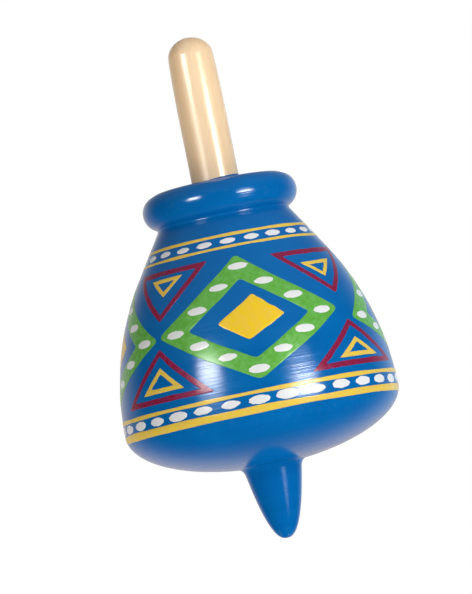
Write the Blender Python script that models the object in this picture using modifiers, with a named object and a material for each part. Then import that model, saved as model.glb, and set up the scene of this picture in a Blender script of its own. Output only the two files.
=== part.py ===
"""Wooden spinning top: a turned body with a collar, a stem and a tip, glued together.

Metres, +Z up. The origin is the lowest point of the tip, on the axis that the top spins about.
Every piece is turned, so each is one half outline carried round the axis.
"""
import math

import bpy

# Stem: a dowel with a domed end, drawn in a little above the grip
STEM_DIAMETER = 0.0100
STEM_END_DIAMETER = 0.0095
STEM_EXPOSED_LENGTH = 0.0312
STEM_DOME_HEIGHT = 0.0042
STEM_TAPER_LENGTH = 0.0100
STEM_INSERT_DEPTH = 0.0200
STEM_CHAMFER = 0.0010

# Collar: a disc with a full round edge, seated on the neck of the body
COLLAR_DIAMETER = 0.0326
COLLAR_THICKNESS = 0.0076

# Body: a straight cone under the neck, a shoulder arc that runs on from it down to the belly,
# and half of a flat ellipse for the underside; the shoulder's height takes in the cone's
NECK_DIAMETER = 0.0282
BELLY_DIAMETER = 0.0580
SHOULDER_HEIGHT = 0.0404
SHOULDER_RADIUS = 0.0583
CONE_HEIGHT = 0.0091
UNDERSIDE_DEPTH = 0.0117

# Tip: an ogive with a small worn flat, and a shouldered tenon above it
TIP_LENGTH = 0.0152
TIP_ROOT_DIAMETER = 0.0122
TIP_FLAT_DIAMETER = 0.0008
TIP_FULLNESS = 2.34
TENON_DIAMETER = 0.0080
TENON_LENGTH = 0.0120
TENON_CHAMFER = 0.0008

# Joints: the glue line between two pieces, the room left at the end of a bore, the drill's point
GLUE_LINE = 0.0003
BORE_END_ROOM = 0.0010
DRILL_POINT_ANGLE = math.radians(118)

# Facets: steps round the axis, and along each curved stretch of an outline
BULB_STEPS = 72
SPINDLE_STEPS = 48
SHOULDER_SEGMENTS = 14
UNDERSIDE_SEGMENTS = 16
EDGE_SEGMENTS = 14
STEM_DOME_SEGMENTS = 7
TIP_SEGMENTS = 12
MERGE_DISTANCE = 0.000001


def clear_scene():
    """Start from an empty scene."""
    for old in list(bpy.data.objects):
        bpy.data.objects.remove(old, do_unlink=True)


def drill_point_height(bore_radius):
    """Height of the cone that a drill leaves at the end of a blind bore."""
    return bore_radius / math.tan(DRILL_POINT_ANGLE / 2)


def arc(centre, across, up, start, end, segments):
    """Points on an ellipse with half axes across and up, from one angle to another, ends included."""
    points = []
    for step in range(segments + 1):
        angle = start + (end - start) * step / segments
        points.append((centre[0] + across * math.cos(angle), centre[1] + up * math.sin(angle)))
    return points


def stem_bore_radius():
    """Radius of the bore that the stem is glued into, in the collar and in the body."""
    return STEM_DIAMETER / 2 + GLUE_LINE


def seat_angle():
    """Angle on the underside's ellipse where it reaches the edge of the tip's seat."""
    return math.acos(TIP_ROOT_DIAMETER / BELLY_DIAMETER)


def belly_height():
    """Height of the widest point of the body over the tip's seat."""
    return UNDERSIDE_DEPTH * math.sin(seat_angle())


def neck_height():
    """Height of the body's flat top over the tip's seat."""
    return belly_height() + SHOULDER_HEIGHT


def shoulder_start_angle():
    """Angle on the shoulder arc, over the belly, where the straight cone from the neck meets it."""
    return math.asin((SHOULDER_HEIGHT - CONE_HEIGHT) / SHOULDER_RADIUS)


def stem_outline():
    """Half outline of the stem, from its domed end down to the end in the body, which is at zero."""
    length = STEM_INSERT_DEPTH + GLUE_LINE + COLLAR_THICKNESS + STEM_EXPOSED_LENGTH
    dome_base = length - STEM_DOME_HEIGHT
    radius = STEM_DIAMETER / 2
    dome = arc((0.0, dome_base), STEM_END_DIAMETER / 2, STEM_DOME_HEIGHT, math.pi / 2, 0.0,
               STEM_DOME_SEGMENTS)
    points = [(0.0, length)] + dome[1:]
    points.append((radius, dome_base - STEM_TAPER_LENGTH))
    points.append((radius, STEM_CHAMFER))
    points.append((radius - STEM_CHAMFER, 0.0))
    points.append((0.0, 0.0))
    return points


def collar_outline():
    """Closed outline of the collar's section, its underside at zero, its bore round the stem."""
    edge_radius = COLLAR_THICKNESS / 2
    edge_centre = (COLLAR_DIAMETER / 2 - edge_radius, edge_radius)
    edge = arc(edge_centre, edge_radius, edge_radius, math.pi / 2, -math.pi / 2, EDGE_SEGMENTS)
    return [(stem_bore_radius(), COLLAR_THICKNESS)] + edge + [(stem_bore_radius(), 0.0)]


def body_outline():
    """Half outline of the body with both bores, from the stem bore's end to the tip bore's end."""
    stem_bore = stem_bore_radius()
    stem_bore_end = neck_height() - STEM_INSERT_DEPTH - BORE_END_ROOM
    tip_bore = TENON_DIAMETER / 2 + GLUE_LINE
    tip_bore_end = TENON_LENGTH + BORE_END_ROOM

    shoulder_centre = (BELLY_DIAMETER / 2 - SHOULDER_RADIUS, belly_height())
    shoulder = arc(shoulder_centre, SHOULDER_RADIUS, SHOULDER_RADIUS, shoulder_start_angle(), 0.0,
                   SHOULDER_SEGMENTS)
    underside = arc((0.0, belly_height()), BELLY_DIAMETER / 2, UNDERSIDE_DEPTH, 0.0, -seat_angle(),
                    UNDERSIDE_SEGMENTS)

    points = [(0.0, stem_bore_end - drill_point_height(stem_bore)), (stem_bore, stem_bore_end)]
    points += [(stem_bore, neck_height()), (NECK_DIAMETER / 2, neck_height())]
    points += shoulder + underside[1:]
    points += [(tip_bore, 0.0), (tip_bore, tip_bore_end)]
    points.append((0.0, tip_bore_end + drill_point_height(tip_bore)))
    return points


def tip_outline():
    """Half outline of the tip, from the top of its tenon down to its worn flat, which is at zero.

    The ogive's height grows as a power of its radius, from the flat's edge to the root.
    """
    root = TIP_ROOT_DIAMETER / 2
    flat = TIP_FLAT_DIAMETER / 2
    tenon = TENON_DIAMETER / 2
    tenon_top = TIP_LENGTH + TENON_LENGTH
    span = root ** TIP_FULLNESS - flat ** TIP_FULLNESS
    points = [(0.0, tenon_top), (tenon - TENON_CHAMFER, tenon_top), (tenon, tenon_top - TENON_CHAMFER)]
    points.append((tenon, TIP_LENGTH))
    for step in range(TIP_SEGMENTS + 1):
        radius = root + (flat - root) * step / TIP_SEGMENTS
        points.append((radius, TIP_LENGTH * (radius ** TIP_FULLNESS - flat ** TIP_FULLNESS) / span))
    points.append((0.0, 0.0))
    return points


def finish(name, colour, roughness, coat):
    """A lacquered wood material."""
    material = bpy.data.materials.new(name)
    material.use_nodes = True
    material.diffuse_color = colour
    shader = material.node_tree.nodes["Principled BSDF"]
    shader.inputs["Base Color"].default_value = colour
    shader.inputs["Roughness"].default_value = roughness
    shader.inputs["Metallic"].default_value = 0.0
    shader.inputs["Coat Weight"].default_value = coat
    return material


def turned_piece(name, outline, steps, height, material, collection, parent, closed=False):
    """Carry a half outline round the axis, and place the piece at its height on the axis."""
    count = len(outline)
    edges = [(index, index + 1) for index in range(count - 1)]
    if closed:
        edges.append((count - 1, 0))
    mesh = bpy.data.meshes.new(name)
    mesh.from_pydata([(across, 0.0, up) for across, up in outline], edges, [])
    mesh.materials.append(material)
    piece = bpy.data.objects.new(name, mesh)
    piece.parent = parent
    piece.location = (0.0, 0.0, height)
    collection.objects.link(piece)

    screw = piece.modifiers.new("turned", "SCREW")
    screw.axis = "Z"
    screw.angle = 2 * math.pi
    screw.steps = steps
    screw.render_steps = steps
    screw.use_merge_vertices = True
    screw.merge_threshold = MERGE_DISTANCE
    screw.use_smooth_shade = True
    return piece


def main():
    """Build the four pieces of the top, from the ground up."""
    clear_scene()
    collection = bpy.data.collections.new("spinning_top")
    bpy.context.scene.collection.children.link(collection)
    spin_axis = bpy.data.objects.new("spin_axis", None)
    collection.objects.link(spin_axis)

    lacquer = {}
    for piece in ("tip", "body", "collar"):
        lacquer[piece] = finish(piece + "_blue_lacquer", (0.010, 0.115, 0.430, 1.0), 0.25, 0.8)
    clear_wood = finish("stem_clear_wood", (0.700, 0.480, 0.280, 1.0), 0.35, 0.5)

    body_seat = TIP_LENGTH + GLUE_LINE
    neck = body_seat + neck_height()
    turned_piece("tip", tip_outline(), SPINDLE_STEPS, 0.0, lacquer["tip"], collection, spin_axis)
    turned_piece("body", body_outline(), BULB_STEPS, body_seat, lacquer["body"], collection, spin_axis)
    turned_piece("collar", collar_outline(), BULB_STEPS, neck + GLUE_LINE, lacquer["collar"], collection,
                 spin_axis, closed=True)
    turned_piece("stem", stem_outline(), SPINDLE_STEPS, neck - STEM_INSERT_DEPTH, clear_wood, collection,
                 spin_axis)


main()
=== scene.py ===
"""Looks of a hand spun wooden top: four turned pieces, their lacquer seams and a painted belt.

Lengths are metres in the frame of the CAD model, with the spin axis along +Z. Turns round the axis are
counted from the side that faces the camera (-Y) towards the camera's right (+X).
"""
import logging
import math
from dataclasses import dataclass, field
from enum import Enum

import bpy
import numpy as np
from bpy.types import Material, Node, NodeSocket, NodeTree, Object
from mathutils import Matrix, Vector


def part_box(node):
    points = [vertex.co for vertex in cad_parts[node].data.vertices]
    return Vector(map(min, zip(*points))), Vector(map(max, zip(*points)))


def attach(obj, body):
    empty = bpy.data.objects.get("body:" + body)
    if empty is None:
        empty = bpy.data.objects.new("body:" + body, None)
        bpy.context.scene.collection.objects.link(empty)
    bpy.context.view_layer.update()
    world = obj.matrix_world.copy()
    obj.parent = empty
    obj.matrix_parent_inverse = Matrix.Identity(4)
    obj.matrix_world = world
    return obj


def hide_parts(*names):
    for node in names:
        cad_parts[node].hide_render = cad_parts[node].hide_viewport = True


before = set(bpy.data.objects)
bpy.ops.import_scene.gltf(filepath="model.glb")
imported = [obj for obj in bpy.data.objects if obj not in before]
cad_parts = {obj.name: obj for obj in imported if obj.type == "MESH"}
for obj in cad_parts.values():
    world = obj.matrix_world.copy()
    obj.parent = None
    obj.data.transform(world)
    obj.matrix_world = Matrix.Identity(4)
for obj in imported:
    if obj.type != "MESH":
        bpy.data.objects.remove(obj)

LOG = logging.getLogger("spinning_top")
SPINNING_BODY = "root"
MILLIMETRE = 0.001
SENSOR_LONG_SIDE = 0.036
CREASE_ANGLE = math.radians(50.0)

# names of the UV maps: the place on the bake, in a brush stroke, and on a sheet of the studio
BAKE_MAP = "OFBake"
BRUSH_MAP = "brush"
SHEET_MAP = "sheet"

# shares of the bake map: the margin in each mark's cell, and the room that hidden faces keep of theirs
CELL_MARGIN = 0.04
HIDDEN_ROOM = 0.1

Colour = tuple[float, float, float, float]
Number = float | NodeSocket
Tint = Colour | NodeSocket
Sockets = bpy.types.bpy_prop_collection


def mm(length: float) -> float:
    """Turn millimetres into metres."""
    return length * MILLIMETRE


# a step far smaller than any shape of the top
NEAR = mm(0.01)


def grey(level: float) -> Colour:
    """A grey of one level."""
    return (level, level, level, 1.0)


def linked(item: Object) -> Object:
    """Link an object to the scene and return it."""
    bpy.context.scene.collection.objects.link(item)
    return item


@dataclass
class Skin:
    """A closed surface, held as whole arrays.

    Attributes:
        points: the surface's points, one row of three lengths each.
        faces: the point numbers at each face's corners; a triangle has -1 in the fourth place.
        bake: the place of each face's corners on the bake map, from 0 to 1.
        brush: the place of each face's corners along and across the brush stroke, in metres.
    """

    points: np.ndarray
    faces: np.ndarray
    bake: np.ndarray
    brush: np.ndarray

    def facing_out(self) -> "Skin":
        """Turn the faces round if they point inwards.

        The volume is the sum over all triangles of a . (b x c) / 6, negative for an inside out skin.

        Returns:
            The same surface, with its faces pointing outwards.
        """
        corner = self.points[self.faces] - self.points.mean(axis=0)
        volume = np.einsum("ij,ij->i", corner[:, 0], np.cross(corner[:, 1], corner[:, 2])).sum()
        quads = self.faces[:, 3] >= 0
        second = np.einsum("ij,ij->i", corner[:, 0], np.cross(corner[:, 2], corner[:, 3]))
        if volume + second[quads].sum() > 0.0:
            return self
        order = np.where(quads[:, None], [3, 2, 1, 0], [2, 1, 0, 3])
        return Skin(self.points, np.take_along_axis(self.faces, order, axis=1),
                    np.take_along_axis(self.bake, order[..., None], axis=1),
                    np.take_along_axis(self.brush, order[..., None], axis=1))

    def to_object(self, name: str, material: Material) -> Object:
        """Put the skin into a mesh object that sits at the origin.

        Args:
            name: the object's name.
            material: the finish of the whole surface.

        Returns:
            The new object, linked to the scene.
        """
        skin = self.facing_out()
        used = skin.faces >= 0
        sizes = used.sum(axis=1)
        corners = skin.faces[used]
        mesh = bpy.data.meshes.new(name)
        mesh.vertices.add(len(skin.points))
        mesh.vertices.foreach_set("co", skin.points.ravel())
        mesh.loops.add(len(corners))
        mesh.loops.foreach_set("vertex_index", corners)
        mesh.polygons.add(len(sizes))
        mesh.polygons.foreach_set("loop_start", np.cumsum(sizes) - sizes)
        mesh.update(calc_edges=True)
        for map_name, places in ((BAKE_MAP, skin.bake), (BRUSH_MAP, skin.brush)):
            mesh.uv_layers.new(name=map_name).data.foreach_set("uv", places[used].ravel())
        mesh.validate()
        mesh.shade_smooth()
        mesh.set_sharp_from_angle(angle=CREASE_ANGLE)
        mesh.materials.append(material)
        return linked(bpy.data.objects.new(name, mesh))


def corner_places(along: np.ndarray, across: np.ndarray) -> np.ndarray:
    """Places of the four corners of each face of a grid.

    Args:
        along: the place of each line between two rows, one more than there are rows.
        across: the place of each line between two columns, one more than there are columns.

    Returns:
        An array of rows x columns x 4 corners x 2.
    """
    corners = [(along[:-1, None], across[None, :-1]), (along[:-1, None], across[None, 1:]),
               (along[1:, None], across[None, 1:]), (along[1:, None], across[None, :-1])]
    return np.stack([np.stack(np.broadcast_arrays(*corner), axis=-1) for corner in corners], axis=-2)


def grid_faces(rows: int, columns: int, closed_rows: bool) -> np.ndarray:
    """Point numbers of the quads of a grid whose columns close on themselves.

    Args:
        rows: how many rows of points.
        columns: how many points in each row.
        closed_rows: whether the last row is joined to the first.

    Returns:
        An array of faces x 4.
    """
    row = np.arange(rows if closed_rows else rows - 1)[:, None]
    column = np.arange(columns)[None, :]
    next_row = (row + 1) % rows
    next_column = (column + 1) % columns
    quads = [row * columns + column, row * columns + next_column,
             next_row * columns + next_column, next_row * columns + column]
    return np.stack(quads, axis=-1).reshape(-1, 4)


def ring_skin(points: np.ndarray, along: np.ndarray, across: np.ndarray) -> Skin:
    """A grid that closes on itself both ways, like the skin of a tyre.

    Args:
        points: rows x columns x 3.
        along: length along the rows at each line between rows, from 0, one more than the rows.
        across: the same across the columns.

    Returns:
        The skin, with its bake map filling the unit square.
    """
    rows, columns = points.shape[:2]
    brush = corner_places(along, across).reshape(-1, 4, 2)
    return Skin(points.reshape(-1, 3), grid_faces(rows, columns, True),
                brush / (along[-1], across[-1]), brush)


def capsule_skin(points: np.ndarray, poles: np.ndarray, along: np.ndarray, across: np.ndarray) -> Skin:
    """A grid that closes round its columns and ends in a point at either end, like the skin of an egg.

    Args:
        points: rows x columns x 3.
        poles: the first and the last point, 2 x 3.
        along: length along the rows at each row and both poles, from 0, two more than the rows.
        across: length across the columns at each line between columns, one more than the columns.

    Returns:
        The skin, with its bake map filling the unit square.
    """
    rows, columns = points.shape[:2]
    column = np.arange(columns)
    beside = (column + 1) % columns
    last = (rows - 1) * columns
    none = np.full(columns, -1)
    first_fan = np.stack([np.full(columns, rows * columns), beside, column, none], axis=-1)
    last_fan = np.stack([np.full(columns, rows * columns + 1), last + column, last + beside, none], axis=-1)
    # each fan's corners: its pole, halfway between two columns, then the two points on its row
    place = corner_places(along, across)
    half = (across[:-1] + across[1:]) / 2
    first_pole, last_pole = (np.stack([np.full(columns, end), half], axis=-1) for end in along[[0, -1]])
    first_place = np.stack([first_pole, place[0, :, 2], place[0, :, 3], first_pole], axis=1)
    last_place = np.stack([last_pole, place[-1, :, 0], place[-1, :, 1], last_pole], axis=1)
    brush = np.concatenate([place[1:-1].reshape(-1, 4, 2), first_place, last_place])
    return Skin(np.concatenate([points.reshape(-1, 3), poles]),
                np.concatenate([grid_faces(rows, columns, False), first_fan, last_fan]),
                brush / (along[-1], across[-1]), brush)


def joined(skins: list[Skin]) -> Skin:
    """Many skins as one, each with a cell of its own on the bake map.

    Args:
        skins: the skins to join.

    Returns:
        One skin that holds them all.
    """
    side = math.ceil(math.sqrt(len(skins)))
    starts = np.cumsum([0] + [len(skin.points) for skin in skins])
    faces = [np.where(skin.faces >= 0, skin.faces + start, -1) for skin, start in zip(skins, starts)]
    cells = np.stack(np.divmod(np.arange(len(skins)), side), axis=-1)
    bake = [(cell + CELL_MARGIN + (1 - 2 * CELL_MARGIN) * skin.bake) / side
            for skin, cell in zip(skins, cells)]
    return Skin(np.concatenate([skin.points for skin in skins]), np.concatenate(faces),
                np.concatenate(bake), np.concatenate([skin.brush for skin in skins]))


def run_of(points: np.ndarray) -> np.ndarray:
    """Length along a path at each of its points, from 0."""
    return np.concatenate([[0.0], np.cumsum(np.linalg.norm(np.diff(points, axis=0), axis=1))])


def arc(centre: tuple[float, float], half_axes: tuple[float, float], start: float, end: float,
        count: int) -> np.ndarray:
    """Points on an ellipse: centre + (a cos t, b sin t), with t going from start to end.

    Args:
        centre: radius and height of the ellipse's middle.
        half_axes: a along the radius and b along the height.
        start: first angle, in radians.
        end: last angle, in radians.
        count: how many points, both ends included.

    Returns:
        An array of count x 2.
    """
    angle = np.linspace(start, end, count)
    return np.array(centre) + np.array(half_axes) * np.stack([np.cos(angle), np.sin(angle)], axis=-1)


def turned(outline: np.ndarray, steps: int, hidden: np.ndarray | None = None) -> Skin:
    """Carry a half outline round the spin axis: (r, z) goes to (r sin a, -r cos a, z) at each turn a.

    An outline that starts and ends on the axis gives a solid. Any other is closed into a ring.

    Args:
        outline: radius and height of each point, in order, as points x 2, or as points x steps x 2 for a
            ring whose outline changes round the axis.
        steps: how many points round the axis.
        hidden: which points nothing shows of, so that they take little room on the bake map.

    Returns:
        The skin of the turned piece.
    """
    turn = np.linspace(-math.pi, math.pi, steps, endpoint=False)
    compass = np.stack([np.sin(turn), -np.cos(turn), np.zeros(steps)], axis=-1)
    around = outline if outline.ndim == 3 else outline[:, None]
    points = around[..., :1] * compass + around[..., 1:] * np.array([0.0, 0.0, 1.0])
    outline = around.mean(axis=1)
    solid = outline[0, 0] == 0.0 and outline[-1, 0] == 0.0
    path = outline if solid else np.concatenate([outline, outline[:1]])
    room = np.linalg.norm(np.diff(path, axis=0), axis=1)
    if hidden is not None:
        flags = hidden if solid else np.append(hidden, hidden[0])
        room = np.where(flags[1:] & flags[:-1], HIDDEN_ROOM * room, room)
    along = np.concatenate([[0.0], np.cumsum(room)])
    across = np.linspace(0.0, 2 * math.pi * outline[:, 0].max(), steps + 1)
    if solid:
        return capsule_skin(points[1:-1], points[[0, -1], 0], along, across)
    return ring_skin(points, along, across)


class NodeBench:
    """A short way to place shader nodes in a tree and join them."""

    def __init__(self, tree: NodeTree) -> None:
        """Start with the tree as it is."""
        self.tree = tree

    def fill(self, node: Node, inputs: dict) -> None:
        """Give inputs of a node a value or another node's output each.

        Args:
            node: the node.
            inputs: a value or an output for each input, by name or number.
        """
        for key, value in inputs.items():
            if isinstance(value, NodeSocket):
                self.tree.links.new(value, node.inputs[key])
            else:
                node.inputs[key].default_value = value

    def add(self, kind: str, inputs: dict | None = None, **settings: object) -> Node:
        """Place a node.

        Args:
            kind: the node's type name, without the word ShaderNode.
            inputs: a value or another node's output for each input, by name or number.
            settings: the node's own properties.

        Returns:
            The new node.
        """
        node = self.tree.nodes.new("ShaderNode" + kind)
        for name, value in settings.items():
            setattr(node, name, value)
        self.fill(node, inputs or {})
        return node

    def math(self, operation: str, *values: Number) -> NodeSocket:
        """One sum with one or two values, which may be other nodes' outputs."""
        return self.add("Math", dict(enumerate(values)), operation=operation).outputs[0]

    def plus(self, first: Number, second: Number) -> NodeSocket:
        """Two values added."""
        return self.math("ADD", first, second)

    def times(self, first: Number, second: Number) -> NodeSocket:
        """Two values multiplied."""
        return self.math("MULTIPLY", first, second)

    def mix(self, share: Number, first: Tint, second: Tint) -> NodeSocket:
        """Mix two colours by a share from 0 to 1."""
        return self.add("Mix", {0: share, 6: first, 7: second}, data_type="RGBA").outputs[2]

    def ease(self, value: NodeSocket, low: float, high: float, out_low: float = 0.0,
             out_high: float = 1.0) -> NodeSocket:
        """Map a value from one range to another, with soft ends and no overshoot."""
        inputs = {0: value, 1: low, 2: high, 3: out_low, 4: out_high}
        return self.add("MapRange", inputs, interpolation_type="SMOOTHSTEP").outputs[0]

    def noise(self, vector: NodeSocket, scale: Number, detail: float, roughness: float = 0.5) -> NodeSocket:
        """Cloudy noise, from about 0 to 1."""
        inputs = {"Vector": vector, "Scale": scale, "Detail": detail, "Roughness": roughness}
        return self.add("TexNoise", inputs).outputs["Fac"]

    def stretched(self, vector: NodeSocket, scale: tuple[float, float, float]) -> NodeSocket:
        """A place with each of its three lengths scaled."""
        return self.add("Mapping", {"Vector": vector, "Scale": scale}).outputs[0]

    def place(self) -> NodeSocket:
        """The place on the piece, in metres, which is the place in the frame."""
        return self.add("TexCoord").outputs["Object"]

    def axes(self, vector: NodeSocket) -> Sockets:
        """The three lengths of a place, by the names X, Y and Z."""
        return self.add("SeparateXYZ", {0: vector}).outputs


class SharedEffect(Enum):
    """Surface effects that several finishes use, each a node group."""

    TURNING = "turning_lines"
    COAT = "uneven_coat"
    SCUFFS = "handling_scuffs"
    BRISTLES = "bristle_streaks"

    def group(self) -> NodeTree:
        """The effect's node group, built the first time that it is asked for."""
        builders = {SharedEffect.TURNING: build_turning_lines, SharedEffect.COAT: build_uneven_coat,
                    SharedEffect.SCUFFS: build_scuffs, SharedEffect.BRISTLES: build_bristles}
        return bpy.data.node_groups.get(self.value) or builders[self]()

    def placed(self, bench: NodeBench, **inputs: float) -> Sockets:
        """Place the effect in a material, with the material's own values, and return its outputs."""
        return bench.add("Group", inputs, node_tree=self.group()).outputs

    def empty(self, inputs: dict[str, float], outputs: tuple[str, ...]) -> tuple[NodeBench, Sockets]:
        """Start the effect's node group, with number sockets.

        Args:
            inputs: each input's name and the value that it starts with.
            outputs: the names of the outputs.

        Returns:
            A bench for the group, and the values that it is given.
        """
        tree = bpy.data.node_groups.new(self.value, "ShaderNodeTree")
        for name, value in inputs.items():
            socket = tree.interface.new_socket(name, in_out="INPUT", socket_type="NodeSocketFloat")
            socket.default_value = value
        for name in outputs:
            tree.interface.new_socket(name, in_out="OUTPUT", socket_type="NodeSocketFloat")
        tree.nodes.new("NodeGroupOutput")
        return NodeBench(tree), tree.nodes.new("NodeGroupInput").outputs


def join_outputs(bench: NodeBench, **values: NodeSocket) -> NodeTree:
    """Join values to a group's outputs by name, and return the group."""
    bench.fill(bench.tree.nodes["Group Output"], values)
    return bench.tree


def build_turning_lines() -> NodeTree:
    """Fine rings that the lathe's tool leaves: noise over height + 0.8 radius, drawn out round the axis.

    Returns:
        The group. Height is the rings' relief and Shade their faint change of tone.
    """
    bench, given = SharedEffect.TURNING.empty({"Pitch": mm(0.5)}, ("Height", "Shade"))
    axes = bench.axes(bench.place())
    flat = bench.add("CombineXYZ", {"X": axes["X"], "Y": axes["Y"]}).outputs[0]
    radius = bench.add("VectorMath", {0: flat}, operation="LENGTH").outputs["Value"]
    run = bench.math("DIVIDE", bench.plus(axes["Z"], bench.times(radius, 0.8)), given["Pitch"])
    drift = bench.stretched(flat, (35.0, 35.0, 0.0))
    spot = bench.add("CombineXYZ", {"Z": run}).outputs[0]
    spot = bench.add("VectorMath", {0: drift, 1: spot}, operation="ADD").outputs["Vector"]
    fine = bench.noise(spot, scale=1.0, detail=2.0)
    broad = bench.noise(spot, scale=0.13, detail=2.0)
    return join_outputs(bench, Height=fine, Shade=bench.ease(broad, 0.3, 0.7))


def build_uneven_coat() -> NodeTree:
    """Lacquer that lies thicker here and thinner there, with a few specks of dust under it.

    Returns:
        The group. Thin is a cloudy mask, and Specks the relief of the dust.
    """
    bench, given = SharedEffect.COAT.empty({"Cloud": mm(9.0), "Spacing": mm(3.2)}, ("Thin", "Specks"))
    place = bench.place()
    clouds = bench.noise(place, scale=bench.math("DIVIDE", 1.0, given["Cloud"]), detail=3.0)
    spacing = bench.math("DIVIDE", 1.0, given["Spacing"])
    away = bench.add("TexVoronoi", {"Vector": place, "Scale": spacing}).outputs["Distance"]
    specks = bench.ease(away, 0.02, 0.07, 1.0, 0.0)
    return join_outputs(bench, Thin=bench.ease(clouds, 0.3, 0.7), Specks=specks)


def build_scuffs() -> NodeTree:
    """Rubbed patches near one height, where the top meets the floor or the fingers.

    Returns:
        The group. Mask is 1 where the lacquer is rubbed and 0 where it is whole.
    """
    bench, given = SharedEffect.SCUFFS.empty({"Height": 0.0, "Reach": mm(2.0), "Amount": 0.5}, ("Mask",))
    place = bench.place()
    away = bench.math("ABSOLUTE", bench.math("SUBTRACT", bench.axes(place)["Z"], given["Height"]))
    near = bench.ease(bench.math("DIVIDE", away, given["Reach"]), 0.0, 1.0, 1.0, 0.0)
    rubbed = bench.ease(bench.noise(place, scale=900.0, detail=4.0, roughness=0.65), 0.52, 0.66)
    return join_outputs(bench, Mask=bench.times(bench.times(near, rubbed), given["Amount"]))


def build_bristles() -> NodeTree:
    """Streaks that a brush leaves: noise over the brush map, drawn out along the stroke.

    Returns:
        The group. Streaks is their strength, and Height the relief of the paint between them.
    """
    bench, given = SharedEffect.BRISTLES.empty({"Bristle": mm(0.16)}, ("Streaks", "Height"))
    stroke = bench.add("UVMap", uv_map=BRUSH_MAP).outputs[0]
    drawn = bench.stretched(stroke, (0.06, 1.0, 1.0))
    fine = bench.noise(drawn, scale=bench.math("DIVIDE", 1.0, given["Bristle"]), detail=2.0)
    cloud = bench.noise(bench.place(), scale=700.0, detail=2.0)
    both = bench.times(bench.plus(fine, cloud), 0.5)
    return join_outputs(bench, Streaks=bench.ease(both, 0.36, 0.64), Height=fine)


def new_material(name: str) -> tuple[Material, NodeBench, Node]:
    """A material with a Principled shader.

    Args:
        name: the material's name.

    Returns:
        The material, a bench for its nodes and its shader.
    """
    material = bpy.data.materials.new(name)
    material.use_nodes = True
    return material, NodeBench(material.node_tree), material.node_tree.nodes["Principled BSDF"]


@dataclass(frozen=True)
class Lacquer:
    """Gloss blue lacquer over turned wood.

    Attributes:
        name: the material's name.
        worn_height: height of the scuffed zone.
        worn_reach: how far the scuffs reach from that height.
        worn_amount: how strong the scuffs are.
        dull_over: height over which the lacquer is rubbed to a satin, if it is.
        dull_edge: how far below that the satin begins.
        full: colour where the coat is thick.
        thin: colour where the coat is thin.
        rubbed: colour where it is scuffed.
        pitch: spacing of the turning lines.
        gloss: roughness on the two tones of the turning lines.
        scuffed: how much rougher the scuffs are.
        satin: how much rougher the satin is.
        relief: height of the bumps, then the share of it in the turning lines and in the specks.
        clear: weight and roughness of the clear coat.
    """

    name: str
    worn_height: float = 0.0
    worn_reach: float = mm(2.0)
    worn_amount: float = 0.4
    dull_over: float | None = None
    dull_edge: float = mm(0.4)
    full: Colour = (0.0004, 0.119, 0.392, 1.0)
    thin: Colour = (0.0010, 0.143, 0.438, 1.0)
    rubbed: Colour = (0.10, 0.24, 0.46, 1.0)
    pitch: float = mm(0.45)
    gloss: tuple[float, float] = (0.14, 0.20)
    scuffed: float = 0.3
    satin: float = 0.4
    relief: tuple[float, float, float] = (mm(0.08), 0.6, 0.8)
    clear: tuple[float, float] = (0.3, 0.08)

    def material(self) -> Material:
        """Build the lacquer's nodes.

        Returns:
            The material.
        """
        material, bench, shader = new_material(self.name)
        coat = SharedEffect.COAT.placed(bench)
        lines = SharedEffect.TURNING.placed(bench, Pitch=self.pitch)
        scuffs = SharedEffect.SCUFFS.placed(bench, Height=self.worn_height, Reach=self.worn_reach,
                                            Amount=self.worn_amount)["Mask"]
        tone = bench.times(bench.plus(coat["Thin"], lines["Shade"]), 0.5)
        colour = bench.mix(scuffs, bench.mix(tone, self.full, self.thin), self.rubbed)
        rough = bench.plus(bench.ease(lines["Shade"], 0.0, 1.0, *self.gloss),
                           bench.times(scuffs, self.scuffed))
        bumps, in_lines, in_specks = self.relief
        relief = bench.plus(bench.times(lines["Height"], in_lines), bench.times(coat["Specks"], in_specks))
        bump = bench.add("Bump", {"Height": relief, "Strength": 1.0, "Distance": bumps})
        clear, clear_rough = self.clear
        if self.dull_over is not None:
            height = bench.axes(bench.place())["Z"]
            dull = bench.ease(height, self.dull_over - self.dull_edge, self.dull_over, 0.0, self.satin)
            rough = bench.plus(rough, dull)
            clear = bench.ease(dull, 0.0, self.satin, clear, 0.0)
        bench.fill(shader, {"Base Color": colour, "Roughness": rough, "Normal": bump.outputs[0],
                            "Coat Weight": clear, "Coat Roughness": clear_rough})
        return material


@dataclass(frozen=True)
class Enamel:
    """Brushed paint of the belt.

    Attributes:
        name: the material's name.
        full: colour where the brush left plenty.
        lean: colour where the bristles left little.
        gloss: roughness where the brush left plenty and where it left little.
        relief: strength and height of the brush marks.
        clear: weight and roughness of the clear coat.
    """

    name: str
    full: Colour
    lean: Colour
    gloss: tuple[float, float] = (0.22, 0.32)
    relief: tuple[float, float] = (0.25, mm(0.02))
    clear: tuple[float, float] = (0.3, 0.1)

    def material(self) -> Material:
        """Build the paint's nodes.

        Returns:
            The material.
        """
        material, bench, shader = new_material(self.name)
        bristles = SharedEffect.BRISTLES.placed(bench)
        colour = bench.mix(bristles["Streaks"], self.full, self.lean)
        rough = bench.ease(bristles["Streaks"], 0.0, 1.0, *self.gloss)
        strength, height = self.relief
        bump = bench.add("Bump", {"Height": bristles["Height"], "Strength": strength, "Distance": height})
        bench.fill(shader, {"Base Color": colour, "Roughness": rough, "Normal": bump.outputs[0],
                            "Coat Weight": self.clear[0], "Coat Roughness": self.clear[1]})
        return material


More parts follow.
